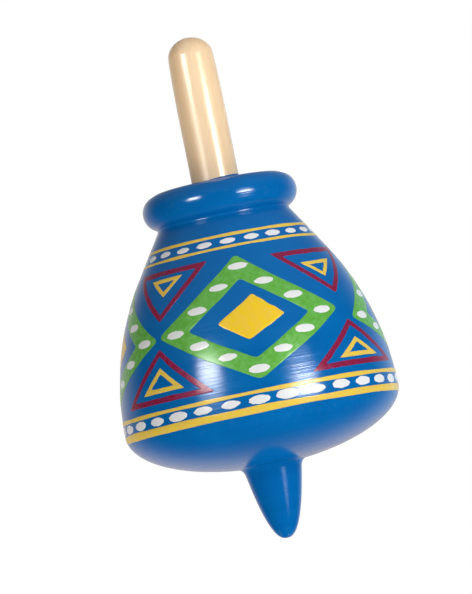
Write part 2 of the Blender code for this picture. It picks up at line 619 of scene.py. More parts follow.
@dataclass(frozen=True)
class ClearWood:
    """Pale close grained wood under a clear satin lacquer.

    Attributes:
        name: the material's name.
        early: colour of the pale growth.
        late: colour of the darker lines between it.
        pores: colour of the fine pores.
        growth: how closely the growth lies, across and along the grain, in waves for each metre.
        fibre: the same for the fibres that hold the pores.
        pore_share: how much of their colour the pores take on.
        gloss: roughness where the lacquer is thick and where it is thin.
        relief: strength and height of the bumps, then the share of it in the specks of dust.
        shine: the shader's fixed values.
    """

    name: str
    early: Colour = (0.972, 0.738, 0.470, 1.0)
    late: Colour = (0.922, 0.658, 0.390, 1.0)
    pores: Colour = (0.740, 0.460, 0.235, 1.0)
    growth: tuple[float, float, float] = (420.0, 420.0, 7.0)
    fibre: tuple[float, float, float] = (2600.0, 2600.0, 70.0)
    pore_share: float = 0.45
    gloss: tuple[float, float] = (0.54, 0.62)
    relief: tuple[float, float, float] = (0.3, mm(0.015), 0.5)
    shine: tuple[tuple[str, float], ...] = (("Specular IOR Level", 0.6), ("Coat Weight", 1.0),
                                            ("Coat IOR", 1.7), ("Coat Roughness", 0.25))

    def material(self) -> Material:
        """Build the wood's nodes.

        Returns:
            The material.
        """
        material, bench, shader = new_material(self.name)
        place = bench.place()
        growth = bench.noise(bench.stretched(place, self.growth), scale=1.0, detail=3.0, roughness=0.55)
        fibre = bench.noise(bench.stretched(place, self.fibre), scale=1.0, detail=2.0)
        pore = bench.ease(fibre, 0.60, 0.74, 0.0, self.pore_share)
        colour = bench.mix(bench.ease(growth, 0.35, 0.68), self.early, self.late)
        colour = bench.mix(pore, colour, self.pores)
        coat = SharedEffect.COAT.placed(bench)
        rough = bench.ease(coat["Thin"], 0.0, 1.0, *self.gloss)
        strength, height, in_specks = self.relief
        relief = bench.math("SUBTRACT", bench.times(coat["Specks"], in_specks), pore)
        bump = bench.add("Bump", {"Height": relief, "Strength": strength, "Distance": height})
        bench.fill(shader, {"Base Color": colour, "Roughness": rough, "Normal": bump.outputs[0],
                            **dict(self.shine)})
        return material


def stand_for(piece: Object, node: str) -> Object:
    """Let a piece ride on the top and replace a CAD node.

    Args:
        piece: the piece.
        node: the CAD node's name.

    Returns:
        The piece.
    """
    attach(piece, SPINNING_BODY)
    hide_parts(node)
    return piece


@dataclass
class Tip:
    """The ogive point and its hidden tenon.

    Attributes:
        flat_radius: radius of the worn flat at the very end.
        fullness: power of the radius that the ogive's height grows with.
        tenon_radius: radius of the tenon in the body.
        shoulder: height of the shoulder that seats on the body.
        tenon_chamfer: bevel at the tenon's end.
        points: how many points along the ogive.
        crowding: power that crowds those points towards the end.
        steps: how many points round the axis.
        finish: the lacquer.
    """

    flat_radius: float = mm(0.4)
    fullness: float = 2.34
    tenon_radius: float = mm(4.0)
    shoulder: float = mm(15.2)
    tenon_chamfer: float = mm(0.8)
    points: int = 72
    crowding: float = 1.6
    steps: int = 160
    finish: Lacquer = Lacquer("tip_blue_lacquer", worn_reach=mm(2.4), worn_amount=0.75)

    def radius_at(self, height: np.ndarray) -> np.ndarray:
        """Radius of the ogive at given heights: z = L (r^p - f^p) / (R^p - f^p), solved for r.

        Args:
            height: heights in the frame.

        Returns:
            The radius at each of them.
        """
        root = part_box("tip")[1].x
        flat = self.flat_radius ** self.fullness
        span = root ** self.fullness - flat
        return (flat + span * height / self.shoulder) ** (1.0 / self.fullness)

    def outline(self) -> np.ndarray:
        """Half outline from the tenon's top down to the point.

        Returns:
            Its points, as radius and height.
        """
        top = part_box("tip")[1].z
        tenon = self.tenon_radius
        height = self.shoulder * np.linspace(1.0, 0.0, self.points) ** self.crowding
        ogive = np.stack([self.radius_at(height), height], axis=-1)
        neck = [(0.0, top), (tenon - self.tenon_chamfer, top), (tenon, top - self.tenon_chamfer),
                (tenon, self.shoulder)]
        return np.concatenate([np.array(neck), ogive, [(0.0, 0.0)]])

    def build(self) -> Object:
        """Turn the tip and dress it.

        Returns:
            The tip.
        """
        outline = self.outline()
        hidden = outline[:, 1] > self.shoulder - NEAR
        piece = turned(outline, self.steps, hidden).to_object("tip_turned", self.finish.material())
        return stand_for(piece, "tip")


@dataclass
class Body:
    """The turned bulb: a straight cone under the neck, a shoulder arc, and a flat ellipse below the belly.

    Attributes:
        neck_radius: radius of the flat top.
        shoulder_radius: radius of the arc between the cone and the belly.
        cone_height: height of the straight cone.
        underside_depth: half height of the underside's ellipse.
        stem_bore: radius of the blind bore for the stem.
        stem_bore_depth: its depth, without the drill's point.
        tip_bore: radius of the blind bore for the tip's tenon.
        tip_bore_depth: its depth, without the drill's point.
        drill_angle: full angle of the drill's point.
        paint_room: how far the lacquer lies under the CAD surface, so that the paint on it reaches that.
        points: how many points along the outline over the belly and under it.
        steps: how many points round the axis.
        finish: the lacquer.
        seat, neck, belly: heights of the tip's seat, the flat top and the widest place.
        seat_radius, belly_radius: radius of the tip's seat and of the widest place.
    """

    neck_radius: float = mm(14.1)
    shoulder_radius: float = mm(58.3)
    cone_height: float = mm(9.1)
    underside_depth: float = mm(11.7)
    stem_bore: float = mm(5.3)
    stem_bore_depth: float = mm(21.0)
    tip_bore: float = mm(4.3)
    tip_bore_depth: float = mm(13.0)
    drill_angle: float = math.radians(118.0)
    paint_room: float = mm(0.06)
    points: tuple[int, int] = (96, 56)
    steps: int = 288
    finish: Lacquer = Lacquer("body_blue_lacquer", worn_height=mm(24.0), worn_reach=mm(3.0),
                              worn_amount=0.06)
    seat: float = field(init=False)
    neck: float = field(init=False)
    belly: float = field(init=False)
    seat_radius: float = field(init=False)
    belly_radius: float = field(init=False)

    def __post_init__(self) -> None:
        """Take the heights and the widest radius from the frame."""
        low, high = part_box("body")
        self.seat = low.z
        self.neck = high.z
        self.belly_radius = high.x
        self.seat_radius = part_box("tip")[1].x
        self.belly = self.seat + self.underside_depth * math.sin(self.seat_angle())

    def seat_angle(self) -> float:
        """Angle on the underside's ellipse where the tip's seat begins."""
        return math.acos(self.seat_radius / self.belly_radius)

    def surface(self, height: np.ndarray) -> tuple[np.ndarray, np.ndarray, np.ndarray]:
        """The body's outside at given heights.

        Under the belly b, r = R sqrt(1 - (b - z)^2 / d^2). Over it, r = R - s + sqrt(s^2 - (z - b)^2) up to
        the cone, which runs straight on to the neck.

        Args:
            height: heights in the frame.

        Returns:
            The radius, and the outward direction's parts along the radius and upwards.
        """
        rim = self.belly_radius
        arc_height = self.neck - self.belly - self.cone_height
        under = np.clip((self.belly - height) / self.underside_depth, 0.0, 1.0)
        over = np.clip(height - self.belly, 0.0, arc_height)
        reach = np.sqrt(self.shoulder_radius ** 2 - over ** 2)
        cone_top = rim - self.shoulder_radius + math.sqrt(self.shoulder_radius ** 2 - arc_height ** 2)
        slope = (cone_top - self.neck_radius) / self.cone_height
        radius = rim * np.sqrt(1.0 - under ** 2) + reach - self.shoulder_radius
        radius = radius - slope * np.clip(height - self.belly - arc_height, 0.0, None)
        out = np.where(height < self.belly, np.sqrt(1.0 - under ** 2) / rim, reach)
        up = np.where(height < self.belly, -under / self.underside_depth, over)
        size = np.hypot(out, up)
        return radius, out / size, up / size

    def laid(self, turn: np.ndarray, height: np.ndarray, proud: np.ndarray) -> np.ndarray:
        """Points on the body: at a turn and a height, moved outwards from the lacquer.

        Args:
            turn: turns round the axis.
            height: heights of the spots on the surface.
            proud: how far each point stands out of the lacquer.

        Returns:
            The points, with one more axis of three lengths.
        """
        radius, out, up = self.surface(height)
        lift = proud - self.paint_room
        across = radius + out * lift
        return np.stack([across * np.sin(turn), -across * np.cos(turn), height + up * lift], axis=-1)

    def outline(self) -> np.ndarray:
        """Half outline from the end of the stem's bore, over the outside, to the end of the tip's bore.

        Returns:
            Its points, as radius and height.
        """
        drill = math.tan(self.drill_angle / 2)
        bore_end = self.neck - self.stem_bore_depth
        tip_end = self.seat + self.tip_bore_depth
        over = np.linspace(self.neck, self.belly, self.points[0])
        under = np.linspace(0.0, self.seat_angle(), self.points[1])[1:]
        height = np.concatenate([over, self.belly - self.underside_depth * np.sin(under)])
        skin = self.laid(np.full_like(height, math.pi / 2), height, np.zeros_like(height))[:, [0, 2]]
        top = [(0.0, bore_end - self.stem_bore / drill), (self.stem_bore, bore_end),
               (self.stem_bore, self.neck)]
        bottom = [(self.tip_bore, self.seat), (self.tip_bore, tip_end),
                  (0.0, tip_end + self.tip_bore / drill)]
        return np.concatenate([np.array(top), skin, np.array(bottom)])

    def build(self) -> Object:
        """Turn the body and dress it.

        Returns:
            The body.
        """
        outline = self.outline()
        hidden = np.ones(len(outline), dtype=bool)
        hidden[3:-3] = False
        piece = turned(outline, self.steps, hidden).to_object("body_turned", self.finish.material())
        return stand_for(piece, "body")


@dataclass
class Collar:
    """The disc with a full round edge that sits on the neck, bored for the stem.

    Attributes:
        bore: radius of its bore.
        points: how many points along its top, its edge and its underside.
        steps: how many points round the axis.
        finish: the lacquer.
    """

    bore: float = mm(5.3)
    points: tuple[int, int, int] = (10, 56, 8)
    steps: int = 224
    finish: Lacquer = Lacquer("collar_blue_lacquer", worn_height=mm(71.4), worn_reach=mm(2.5),
                              worn_amount=0.1, dull_over=mm(75.2))

    def edge(self, spread: float, count: int) -> np.ndarray:
        """Points on the round edge, from over its middle to as far under it.

        Args:
            spread: how far that is, as an angle in radians.
            count: how many points.

        Returns:
            The points, as radius and height.
        """
        low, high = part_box("collar")
        half = (high.z - low.z) / 2
        return arc((high.x - half, low.z + half), (half, half), spread, -spread, count)

    def build(self) -> Object:
        """Turn the collar and dress it.

        Returns:
            The collar.
        """
        low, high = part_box("collar")
        on_top, on_edge, below = self.points
        edge = self.edge(math.pi / 2, on_edge)
        top = np.linspace((self.bore, high.z), edge[0], on_top)[:-1]
        bottom = np.linspace(edge[-1], (self.bore, low.z), below)[1:]
        outline = np.concatenate([top, edge, bottom])
        hidden = outline[:, 1] < low.z + NEAR
        piece = turned(outline, self.steps, hidden).to_object("collar_turned", self.finish.material())
        return stand_for(piece, "collar")


@dataclass
class Stem:
    """The dowel that is twirled between the fingers, with a domed end.

    Attributes:
        end_radius: radius under the dome.
        dome_height: height of the dome.
        taper_length: how far below the dome the dowel reaches its full radius.
        chamfer: bevel at the end in the body.
        points: how many points along the dome, the taper and the shank.
        steps: how many points round the axis.
        finish: the clear lacquered wood.
    """

    end_radius: float = mm(4.75)
    dome_height: float = mm(4.2)
    taper_length: float = mm(10.0)
    chamfer: float = mm(1.0)
    points: tuple[int, int, int] = (40, 24, 40)
    steps: int = 144
    finish: ClearWood = ClearWood("stem_clear_wood")

    def outline(self) -> np.ndarray:
        """Half outline from the top of the dome down to the end in the body.

        The dome is a quarter ellipse, and the taper under it eases into the dowel as 1 - (1 - t)^2.

        Returns:
            Its points, as radius and height.
        """
        low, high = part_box("stem")
        on_dome, on_taper, on_shank = self.points
        base = high.z - self.dome_height
        dome = arc((0.0, base), (self.end_radius, self.dome_height), math.pi / 2, 0.0, on_dome)
        dome[0, 0] = 0.0
        share = np.linspace(0.0, 1.0, on_taper)[1:]
        swell = self.end_radius + (high.x - self.end_radius) * (1.0 - (1.0 - share) ** 2)
        taper = np.stack([swell, base - self.taper_length * share], axis=-1)
        shank = np.linspace(taper[-1], (high.x, low.z + self.chamfer), on_shank)[1:]
        end = [(high.x - self.chamfer, low.z), (0.0, low.z)]
        return np.concatenate([dome, taper, shank, np.array(end)])

    def build(self) -> Object:
        """Turn the stem and dress it.

        Returns:
            The stem.
        """
        outline = self.outline()
        hidden = outline[:, 1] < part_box("collar")[1].z
        piece = turned(outline, self.steps, hidden).to_object("stem_turned", self.finish.material())
        return stand_for(piece, "stem")


@dataclass
class LacquerSeams:
    """Rings of lacquer that ran into the three joints and dried there in hollow curves.

    Attributes:
        body: the body, for the run of its surface.
        tip: the tip, for the run of its ogive.
        collar: the collar, for the run of its edge.
        tip_reach: how far the seam at the tip reaches from the joint.
        tip_root: how far inside the joint its section closes, inwards and upwards.
        neck_reach: how far the seam at the neck reaches down the cone.
        neck_dip: where on the collar's edge it ends, as an angle under the edge's middle.
        neck_root: how far inside the joint its section closes, inwards and upwards.
        stem_reach: how far the seam at the stem reaches, as a mean.
        stem_uneven: how much further than that it reaches on the right, as a share.
        stem_root: how far inside the joint its section closes, outwards and downwards.
        edge_points: how finely the collar's edge is stepped to find its run.
        points: how many points along each hollow curve.
        steps: how many points round the axis.
        finish: the lacquer.
    """

    body: Body
    tip: Tip
    collar: Collar
    tip_reach: float = mm(1.2)
    tip_root: tuple[float, float] = (mm(0.8), mm(0.15))
    neck_reach: float = mm(0.12)
    neck_dip: float = math.radians(64.0)
    neck_root: tuple[float, float] = (mm(0.9), mm(0.15))
    stem_reach: float = mm(0.8)
    stem_uneven: float = 0.45
    stem_root: tuple[float, float] = (mm(0.05), mm(0.25))
    edge_points: int = 720
    points: int = 17
    steps: int = 192
    finish: Lacquer = Lacquer("seam_blue_lacquer", worn_amount=0.0)

    def section(self, start: np.ndarray, start_run: np.ndarray, end: np.ndarray, end_run: np.ndarray,
                root: tuple[float, float]) -> np.ndarray:
        """Closed section of a seam: a hollow curve that touches both pieces, closed through its root.

        The curve is (1 - t)^2 start + 2 t (1 - t) corner + t^2 end, with the corner where both runs cross.

        Args:
            start: where the curve leaves the first piece, as radius and height.
            start_run: direction of the first piece's outline there.
            end: where it reaches the second piece.
            end_run: direction of the second piece's outline there.
            root: a point inside the joint.

        Returns:
            The section's points, in order.
        """
        reach = np.linalg.solve(np.stack([start_run, -end_run], axis=-1), end - start)[0]
        corner = start + reach * start_run
        t = np.linspace(0.0, 1.0, self.points)[:, None]
        curve = (1 - t) ** 2 * start + 2 * t * (1 - t) * corner + t ** 2 * end
        return np.concatenate([curve, [root]])

    def on_body(self, height: float) -> tuple[np.ndarray, np.ndarray]:
        """A spot on the body's lacquer.

        Args:
            height: height of the spot on the body.

        Returns:
            The spot, as radius and height, and the outline's direction there.
        """
        spot = self.body.laid(np.array(math.pi / 2), np.array(height), np.array(0.0))[[0, 2]]
        _, out, up = self.body.surface(np.array(height))
        return spot, np.array([-float(up), float(out)])

    def at_tip(self) -> np.ndarray:
        """Section where the tip's root meets the underside.

        Returns:
            The section's points, in order.
        """
        body = self.body
        share = (body.seat_radius + self.tip_reach) / body.belly_radius
        start, start_run = self.on_body(body.belly - math.sqrt(1.0 - share ** 2) * body.underside_depth)
        heights = self.tip.shoulder - self.tip_reach + np.array([0.0, NEAR])
        spots = np.stack([self.tip.radius_at(heights), heights], axis=-1)
        root = (body.seat_radius - self.tip_root[0], self.tip.shoulder + self.tip_root[1])
        return self.section(start, start_run, spots[0], spots[1] - spots[0], root)

    def at_neck(self) -> np.ndarray:
        """Section where the collar's round edge meets the neck.

        Returns:
            The section's points, in order.
        """
        start, start_run = self.on_body(self.body.neck - self.neck_reach)
        end, beyond = self.collar.edge(self.neck_dip, self.edge_points)[[-1, -2]]
        root = (self.body.neck_radius - self.neck_root[0], self.body.neck + self.neck_root[1])
        return self.section(start, start_run, end, beyond - end, root)

    def at_stem(self) -> np.ndarray:
        """Section where the stem leaves the collar, at each turn a: its reach goes with 1 + u sin a.

        Its curve runs from the collar's top to the stem as radius = r + (1 - t)^2 (reach + gap) and
        height = top + t^2 reach.

        Returns:
            The section's points, in order, at each turn.
        """
        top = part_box("collar")[1].z
        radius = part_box("stem")[1].x
        turn = np.linspace(-math.pi, math.pi, self.steps, endpoint=False)
        reach = self.stem_reach * (1.0 + self.stem_uneven * np.sin(turn))
        t = np.linspace(0.0, 1.0, self.points)[:, None]
        across = radius + (1 - t) ** 2 * (self.collar.bore + reach - radius)
        curve = np.stack([across, top + t ** 2 * reach], axis=-1)
        root = (radius + self.stem_root[0], top - self.stem_root[1])
        return np.concatenate([curve, np.broadcast_to(root, (1, self.steps, 2))])

    def build(self) -> list[Object]:
        """Carry the three sections round the axis and dress them.

        Returns:
            The three seams.
        """
        material = self.finish.material()
        sections = {"tip_seam": self.at_tip(), "neck_seam": self.at_neck(), "stem_seam": self.at_stem()}
        return [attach(turned(section, self.steps).to_object(name, material), SPINNING_BODY)
                for name, section in sections.items()]


@dataclass(frozen=True)
class Line:
    """A line painted all the way round: its height and its width."""

    height: float
    width: float


@dataclass(frozen=True)
class DotRow:
    """A row of dabs all the way round: its height, how many, and how wide and high each is."""

    height: float
    count: int
    wide: float
    high: float


@dataclass(frozen=True)
class Triangle:
    """A triangle outline of the belt.

    Attributes:
        bar: height of its level side.
        apex: height of its point.
        half_turn: half the turn that its level side spans, in degrees.
        stroke: width of its brush stroke.
    """

    bar: float
    apex: float
    half_turn: float
    stroke: float


@dataclass(frozen=True)
class Diamond:
    """A diamond of the belt.

    Attributes:
        first: turn of its left point, in degrees.
        last: turn of its right point, in degrees.
        left: height of its left point.
        right: height of its right point.
        lean: how far its heart leans, in degrees of turn for each millimetre upwards.
    """

    first: float
    last: float
    left: float
    right: float
    lean: float

    def middle(self) -> np.ndarray:
        """Turn and height halfway between the side points."""
        return np.array([math.radians(self.first + self.last) / 2, (self.left + self.right) / 2])


@dataclass(frozen=True)
class Gap:
    """How far the triangles stray in one gap between two diamonds.

    Attributes:
        upper: how much lower the upper triangles sit.
        heart: how much lower again the inner one of them sits.
        apex: how much lower the points of the lower triangles are.
    """

    upper: float
    heart: float
    apex: float


@dataclass(frozen=True)
class PaintProfile:
    """How the paint stands on the lacquer; a share is of the way from a mark's middle to its edge.

    Attributes:
        line, heart, triangle: height of the paint in these marks, as a share of the room for it.
        bands: the same in the diamonds' bands, which take turns.
        stroke_flat: share up to which a stroke is stepped evenly.
        stroke_points: how many points across that.
        stroke_rim: shares where its rim is stepped.
        stroke_foot: share where its underside ends.
        stroke_power: how steep its rim is.
        dab_flat, dab_points, dab_rim, dab_foot: the same for a dab or a heart, from its middle outwards.
        dab_under: where the edge and the middle of its underside lie on the brush map, as shares.
        dab_power: how steep a dab's rim is.
        heart_power: how steep a heart's rim is.
    """

    line: float = 0.8
    heart: float = 0.8
    triangle: float = 0.7
    bands: tuple[float, float] = (0.6, 0.5)
    stroke_flat: float = 0.85
    stroke_points: int = 11
    stroke_rim: tuple[float, ...] = (0.93, 0.98, 1.0)
    stroke_foot: float = 0.95
    stroke_power: int = 10
    dab_flat: float = 0.84
    dab_points: int = 7
    dab_rim: tuple[float, ...] = (0.92, 0.97, 1.0)
    dab_foot: float = 0.94
    dab_under: tuple[float, float] = (1.05, 1.6)
    dab_power: float = 5.0
    heart_power: float = 14.0


@dataclass(frozen=True)
class Unsteady:
    """How far the brush strays.

    Attributes:
        stray: the length that the shares below are taken of.
        dab: share of it that a dab strays.
        dab_edge: how uneven a dab's edge is, as a share of its size.
        dab_size: how uneven the dabs' sizes are.
        line: share of the stray that a line wanders up and down.
        line_width: how uneven a line's width is.
        band: share of the stray in a diamond band's edges, at band_reach from its middle.
        band_reach: that distance.
        heart: how uneven a heart's edge is.
        triangle: share of the stray in a triangle's corners and inner edge.
        triangle_edge: how much of that its outer edge has.
        triangle_size: how uneven the triangles' widths are.
        triangle_turn: how far they stray round the body, in degrees.
        sines: how many sines make up a wavering edge.
        waves: the fewest waves that a sine has round a mark, and one more than the most.
    """

    stray: float = mm(0.12)
    dab: float = 0.35
    dab_edge: float = 0.10
    dab_size: float = 0.04
    line: float = 0.4
    line_width: float = 0.3
    band: float = 1.3
    band_reach: float = mm(14.0)
    heart: float = 0.03
    triangle: float = 0.8
    triangle_edge: float = 0.4
    triangle_size: float = 0.03
    triangle_turn: float = 0.6
    sines: int = 5
    waves: tuple[int, int] = (2, 12)


@dataclass
class PaintedBelt:
    """The traditional belt: lines, dabs, a chain of diamonds and outlined triangles between them.

    Every mark is a closed skin of paint. It is worked out on the flat, as turn and height, and laid on
    the body.

    Attributes:
        body: the body that carries the paint.
        lines: the four lines.
        rows: the two rows of dabs between the lines.
        diamonds: the chain of diamonds, towards the right.
        diamond_low: height of the diamonds' lower points.
        diamond_high: height of their upper points.
        band_share: size of a diamond band's inner edge, as a share of its outer edge.
        dab_share: where on the band the dabs sit, as shares of the outer edge across and upwards.
        heart_share: size of the filled heart, as a share of the outer edge.
        heart_shift: how far the heart sits off the diamond's middle, as a turn in degrees and a height.
        dab: width and height of a dab on the bands.
        upper: upper triangles, outer and inner.
        lower: lower triangles, outer and inner.
        gaps: the gap on the right of each diamond.
        sink: how far the paint's underside lies in the lacquer.
        profile: how the paint stands on the lacquer.
        unsteady: how far the brush strays.
        yellow, gold, green, red, white: the paints.
        chance: the source of all that strays.
    """

    body: Body
    lines: tuple[Line, ...] = (Line(mm(63.2), mm(0.62)), Line(mm(60.6), mm(0.55)),
                               Line(mm(29.65), mm(0.82)), Line(mm(26.1), mm(1.45)))
    rows: tuple[DotRow, ...] = (DotRow(mm(61.85), 22, mm(3.3), mm(1.4)),
                                DotRow(mm(28.05), 30, mm(4.4), mm(1.8)))
    diamonds: tuple[Diamond, ...] = (Diamond(-42.5, 47.2, mm(44.7), mm(44.0), 0.6),
                                     Diamond(54.0, 142.0, mm(41.6), mm(44.3), -0.3),
                                     Diamond(142.0, 226.0, mm(44.3), mm(44.6), 0.3),
                                     Diamond(226.0, 316.5, mm(44.6), mm(44.3), 0.0))
    diamond_low: float = mm(32.0)
    diamond_high: float = mm(58.7)
    band_share: float = 0.637
    dab_share: tuple[float, float] = (0.79, 0.82)
    heart_share: float = 0.35
    heart_shift: tuple[float, float] = (1.2, mm(0.4))
    dab: tuple[float, float] = (mm(4.5), mm(1.8))
    upper: tuple[Triangle, Triangle] = (Triangle(mm(58.5), mm(48.1), 28.0, mm(1.15)),
                                        Triangle(mm(56.8), mm(53.2), 12.0, mm(0.85)))
    lower: tuple[Triangle, Triangle] = (Triangle(mm(31.5), mm(42.5), 25.0, mm(1.15)),
                                        Triangle(mm(33.5), mm(38.8), 12.0, mm(0.95)))
    gaps: tuple[Gap, ...] = (Gap(mm(1.2), mm(0.9), mm(1.3)), Gap(mm(0.6), mm(0.2), mm(0.4)),
                             Gap(mm(0.3), 0.0, 0.0), Gap(0.0, 0.0, 0.0))
    sink: float = mm(0.03)
    profile: PaintProfile = PaintProfile()
    unsteady: Unsteady = Unsteady()
    yellow: Enamel = Enamel("belt_yellow_paint", (0.840, 0.600, 0.065, 1.0), (0.740, 0.520, 0.100, 1.0))
    gold: Enamel = Enamel("heart_yellow_paint", (0.880, 0.610, 0.012, 1.0), (0.840, 0.550, 0.050, 1.0))
    green: Enamel = Enamel("band_green_paint", (0.110, 0.400, 0.050, 1.0), (0.135, 0.440, 0.085, 1.0))
    red: Enamel = Enamel("triangle_red_paint", (0.270, 0.012, 0.050, 1.0), (0.210, 0.015, 0.066, 1.0))
    white: Enamel = Enamel("dab_white_paint", (0.840, 0.850, 0.850, 1.0), (0.740, 0.770, 0.800, 1.0))
    chance: np.random.Generator = field(default_factory=lambda: np.random.default_rng(11))

    def strayed(self, count: int, size: float) -> np.ndarray:
        """A smooth closed run of small offsets: the mean of sines with chance waves and phases.

        Args:
            count: how many offsets.
            size: the largest that each sine reaches.

        Returns:
            The offsets.
        """
        turn = np.linspace(0.0, 2 * math.pi, count, endpoint=False)
        hand = self.unsteady
        waves = self.chance.integers(*hand.waves, hand.sines)[:, None]
        phases = self.chance.uniform(0.0, 2 * math.pi, hand.sines)[:, None]
        return size * np.sin(waves * turn + phases).mean(axis=0)

    def closed_path(self, corners: np.ndarray, per_side: int, easing: int) -> np.ndarray:
        """Points along a polygon, evenly on each side.

        Each point is then the mean of its neighbours, which eases the corners.

        Args:
            corners: the polygon's corners, as turn and height.
            per_side: how many points on each side.
            easing: how many neighbours on either side take part in the mean.

        Returns:
            The path's points.
        """
        share = np.linspace(0.0, 1.0, per_side, endpoint=False)[None, :, None]
        sides = np.roll(corners, -1, axis=0) - corners
        path = (corners[:, None] + share * sides[:, None]).reshape(-1, 2)
        return np.mean([np.roll(path, shift, axis=0) for shift in range(-easing, easing + 1)], axis=0)

    def band(self, inner: np.ndarray, outer: np.ndarray, level: float) -> Skin:
        """A closed brush stroke between two edges.

        At the share s of the way from its middle to either edge the paint's height is sqrt(1 - |s|^power).

        Args:
            inner: turn and height along one edge.
            outer: turn and height along the other edge.
            level: height of the paint, as a share of the room for it.

        Returns:
            The skin of the stroke.
        """
        shape = self.profile
        rim = np.array(shape.stroke_rim)
        flat = np.linspace(-shape.stroke_flat, shape.stroke_flat, shape.stroke_points)
        top = np.concatenate([-rim[::-1], flat, rim])
        across = np.concatenate([top, [shape.stroke_foot, -shape.stroke_foot]])
        height = level * self.body.paint_room * np.sqrt(1.0 - top ** shape.stroke_power)
        proud = np.concatenate([height, [-self.sink, -self.sink]])
        spots = (inner + outer)[:, None] / 2 + across[None, :, None] * (outer - inner)[:, None] / 2
        points = self.body.laid(spots[..., 0], spots[..., 1], np.broadcast_to(proud, spots.shape[:2]))
        along = run_of(np.concatenate([points, points[:1]])[:, 0])
        return ring_skin(points, along, run_of(np.concatenate([points[0], points[0, :1]])))

    def filled(self, middle: np.ndarray, edge: np.ndarray, power: float, level: float = 1.0) -> Skin:
        """A dab of paint inside an edge: height = sqrt(1 - s^power) at the share s of the way to the edge.

        Args:
            middle: turn and height of its middle.
            edge: turn and height along its edge.
            power: a high number gives a flat dab with a steep edge.
            level: height of the paint, as a share of the room for it.

        Returns:
            The skin of the dab.
        """
        shape = self.profile
        flat = np.linspace(0.0, shape.dab_flat, shape.dab_points)[1:]
        share = np.concatenate([flat, shape.dab_rim, [shape.dab_foot]])
        proud = level * self.body.paint_room * np.sqrt(1.0 - share ** power)
        proud[-2:] = (0.0, -self.sink)
        spots = middle + share[:, None, None] * (edge - middle)
        lift = np.broadcast_to(proud[:, None], spots.shape[:2])
        points = self.body.laid(spots[..., 0], spots[..., 1], lift)
        ends = np.array([level * self.body.paint_room, -self.sink])
        poles = self.body.laid(np.full(2, middle[0]), np.full(2, middle[1]), ends)
        size = np.linalg.norm(points[-2] - poles[0], axis=1).max()
        along = np.concatenate([[0.0], share[:-1], shape.dab_under]) * size
        return capsule_skin(points, poles, along, np.linspace(0.0, 2 * math.pi * size, len(edge) + 1))

    def dab_at(self, turn: float, height: float, wide: float, high: float) -> Skin:
        """One oval dab, a little uneven.

        Args:
            turn: turn of its middle.
            height: height of its middle.
            wide: its width round the body.
            high: its height along the body's slope.

        Returns:
            The skin of the dab.
        """
        count = 28
        hand = self.unsteady
        stray = self.chance.normal(0.0, hand.dab, 2) * hand.stray
        radius, out, _ = self.body.surface(np.array(height))
        angle = np.linspace(0.0, 2 * math.pi, count, endpoint=False)
        reach = 1.0 + self.strayed(count, hand.dab_edge) + self.chance.normal(0.0, hand.dab_size)
        middle = np.array([turn + stray[0] / radius, height + stray[1]])
        edge = np.stack([middle[0] + reach * np.cos(angle) * wide / 2 / radius,
                         middle[1] + reach * np.sin(angle) * high / 2 * out], axis=-1)
        return self.filled(middle, edge, self.profile.dab_power)

    def row_of_dabs(self, row: DotRow) -> list[Skin]:
        """The dabs of one row, evenly spaced round the body."""
        turns = np.linspace(0.0, 2 * math.pi, row.count, endpoint=False)
        return [self.dab_at(turn, row.height, row.wide, row.high) for turn in turns]

    def line(self, line: Line) -> Skin:
        """One line all the way round, a little uneven in width.

        Args:
            line: its height and width.

        Returns:
            The skin of the line.
        """
        count = 360
        hand = self.unsteady
        turn = np.linspace(-math.pi, math.pi, count, endpoint=False)
        middle = line.height + self.strayed(count, hand.line * hand.stray)
        half = line.width / 2 * (1.0 + self.strayed(count, hand.line_width))
        low, high = (np.stack([turn, edge], axis=-1) for edge in (middle - half, middle + half))
        return self.band(low, high, self.profile.line)

    def diamond_corners(self, shape: Diamond) -> np.ndarray:
        """Corners of a diamond, as turn and height: low, right, high, left."""
        turn = shape.middle()[0]
        return np.array([(turn, self.diamond_low), (math.radians(shape.last), shape.right),
                         (turn, self.diamond_high), (math.radians(shape.first), shape.left)])

    def diamond_band(self, number: int) -> Skin:
        """The green band of a diamond, between its outer edge and the same shape made smaller.

        Args:
            number: the diamond's place in the chain.

        Returns:
            The skin of the band.
        """
        shape = self.diamonds[number]
        hand = self.unsteady
        middle = shape.middle()
        path = self.closed_path(self.diamond_corners(shape), per_side=44, easing=2) - middle
        sway = hand.band * hand.stray / hand.band_reach
        outer = path * (1.0 + self.strayed(len(path), sway))[:, None]
        inner = path * (self.band_share + self.strayed(len(path), sway))[:, None]
        return self.band(middle + inner, middle + outer, self.profile.bands[number % 2])

    def diamond_dabs(self, shape: Diamond) -> list[Skin]:
        """The white dabs on a diamond's band: one at each corner and two on each side.

        Args:
            shape: the diamond.

        Returns:
            The skins of the dabs.
        """
        middle = shape.middle()
        path = self.closed_path(self.diamond_corners(shape), per_side=3, easing=0) - middle
        spots = middle + np.array(self.dab_share) * path
        return [self.dab_at(turn, height, *self.dab) for turn, height in spots]

    def diamond_heart(self, shape: Diamond) -> Skin:
        """The filled yellow heart of a diamond: its outer edge made smaller, leaning to one side.

        Args:
            shape: the diamond.

        Returns:
            The skin of the heart.
        """
        middle = shape.middle()
        path = self.closed_path(self.diamond_corners(shape), per_side=24, easing=1) - middle
        path[:, 0] += math.radians(shape.lean) / MILLIMETRE * path[:, 1]
        middle = middle + np.array([math.radians(self.heart_shift[0]), self.heart_shift[1]])
        reach = self.heart_share * (1.0 + self.strayed(len(path), self.unsteady.heart))
        edge = middle + path * reach[:, None]
        return self.filled(middle, edge, self.profile.heart_power, self.profile.heart)

